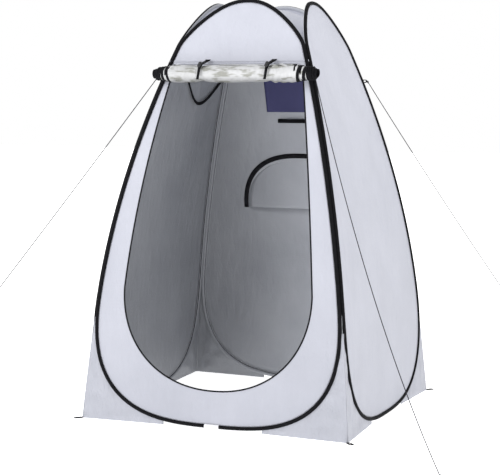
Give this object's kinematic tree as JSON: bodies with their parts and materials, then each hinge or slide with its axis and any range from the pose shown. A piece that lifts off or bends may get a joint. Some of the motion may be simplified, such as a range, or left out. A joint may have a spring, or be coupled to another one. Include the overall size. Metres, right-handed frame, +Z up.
{
  "type": "pop-up privacy shower tent",
  "caption": "Tall square pop-up privacy shower tent with leaning walls on hidden wire hoops, an arched doorway under a rolled-up door, corner skirts and guy lines.",
  "frame": {"origin": "centre of the square footprint on the ground, front doorway towards -Y", "axes": "+Z up the tent's height, +Y towards the back wall, +X towards the right wall as seen from the front"},
  "size_m": [2.1152, 2.1435, 1.8978],
  "materials": {
    "wall_fabric": "coated polyester, satin",
    "binding_tape": "black woven tape, matt",
    "webbing": "black woven webbing, matt",
    "silver_fabric": "silver-coated polyester, satin",
    "navy_fabric": "navy coated polyester, matt",
    "patch_fabric": "white woven patch, matt",
    "guy_cord": "black braided cord, matt",
    "spring_steel": "drawn wire, satin",
    "crimp_steel": "plain crimped tube, satin",
    "toggle_plastic": "moulded, matt"
  },
  "bodies": {
    "tent": {"binding_patch": "patch_fabric", "corner_gusset_back_left": "wall_fabric", "corner_gusset_back_right": "wall_fabric", "corner_gusset_front_left": "wall_fabric", "corner_gusset_front_right": "wall_fabric", "door_sheet": "silver_fabric", "door_zip_tape": "binding_tape", "guy_eye_back_right": "guy_cord", "guy_eye_front_left": "guy_cord", "guy_eye_front_right": "guy_cord", "guy_line_back_right": "guy_cord", "guy_line_front_left": "guy_cord", "guy_line_front_right": "guy_cord", "guy_tab_back_left": "webbing", "guy_tab_back_right": "webbing", "guy_tab_front_left": "webbing", "guy_tab_front_right": "webbing", "hanging_strap": "webbing", "hoop_binding_back": "binding_tape", "hoop_binding_front": "binding_tape", "hoop_binding_left": "binding_tape", "hoop_binding_right": "binding_tape", "hoop_wire_back": "spring_steel", "hoop_wire_front": "spring_steel", "hoop_wire_left": "spring_steel", "hoop_wire_right": "spring_steel", "peg_loop_back_left": "webbing", "peg_loop_back_right": "webbing", "peg_loop_front_left": "webbing", "peg_loop_front_right": "webbing", "roof_panel": "wall_fabric", "towel_strap": "webbing", "vent_zip": "binding_tape", "wall_back": "wall_fabric", "wall_front": "wall_fabric", "wall_left": "wall_fabric", "wall_right": "wall_fabric", "window_cover": "navy_fabric", "wire_ferrule_back": "crimp_steel", "wire_ferrule_front": "crimp_steel", "wire_ferrule_left": "crimp_steel", "wire_ferrule_right": "crimp_steel"},
    "door_roll": {"door_roll": "silver_fabric", "door_roll_end_left": "binding_tape", "door_roll_end_right": "binding_tape"},
    "toggle_left": {"toggle_strap_left": "webbing", "toggle_bar_left": "toggle_plastic"},
    "toggle_right": {"toggle_strap_right": "webbing", "toggle_bar_right": "toggle_plastic"},
    "vent_flap": {"vent_flap": "wall_fabric"}
  },
  "joints": [
    {"name": "door_lower", "type": "hinge", "parent": "tent", "child": "door_roll", "pos_m": [0, 4.02703, 0.00675], "axis": [1, 0, 0], "range_deg": [0, 16.6], "deforming": ["door_sheet"]},
    {"name": "toggle_left_lift", "type": "hinge", "parent": "tent", "child": "toggle_left", "pos_m": [-0.142, -0.3459, 1.618], "axis": [-1, 0, 0], "range_deg": [0, 110]},
    {"name": "toggle_right_lift", "type": "hinge", "parent": "tent", "child": "toggle_right", "pos_m": [0.178, -0.3459, 1.618], "axis": [-1, 0, 0], "range_deg": [0, 110]},
    {"name": "vent_flap_open", "type": "hinge", "parent": "tent", "child": "vent_flap", "pos_m": [0, 0.52957, 0.9], "axis": [-1, 0, 0], "range_deg": [0, 120]}
  ]
}
